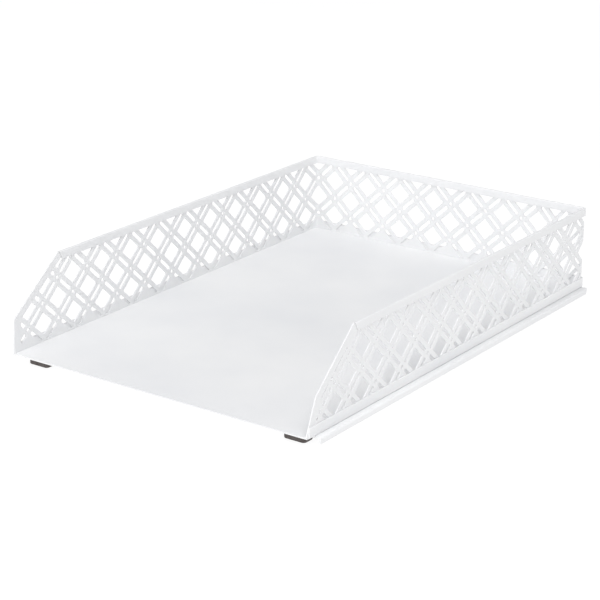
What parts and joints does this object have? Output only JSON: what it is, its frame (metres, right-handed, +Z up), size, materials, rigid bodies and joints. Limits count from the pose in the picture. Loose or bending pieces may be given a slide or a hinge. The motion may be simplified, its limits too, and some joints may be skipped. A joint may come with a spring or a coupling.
{
  "type": "letter tray",
  "caption": "Open-fronted stackable letter tray in white powder-coated steel: flat pan, double-trellis perforated wall with sloping sides, folded top channel, stacking rails and rubber pads.",
  "frame": {"origin": "under the middle of the tray, at the level of the soles of the rubber pads", "axes": "+Z up, -Y toward the open front, +X to the right as seen from the front"},
  "size_m": [0.2456, 0.346, 0.0645],
  "materials": {
    "powder_coat": "satin white powder coat on sheet steel",
    "pad_rubber": "matte moulded rubber"
  },
  "bodies": {
    "root": {"base_pan": "powder_coat", "wall_back": "powder_coat", "wall_left": "powder_coat", "wall_right": "powder_coat", "top_rim": "powder_coat", "rail_left": "powder_coat", "rail_right": "powder_coat", "pad_front_left": "pad_rubber", "pad_front_right": "pad_rubber", "pad_back_left": "pad_rubber", "pad_back_right": "pad_rubber"}
  },
  "joints": []
}
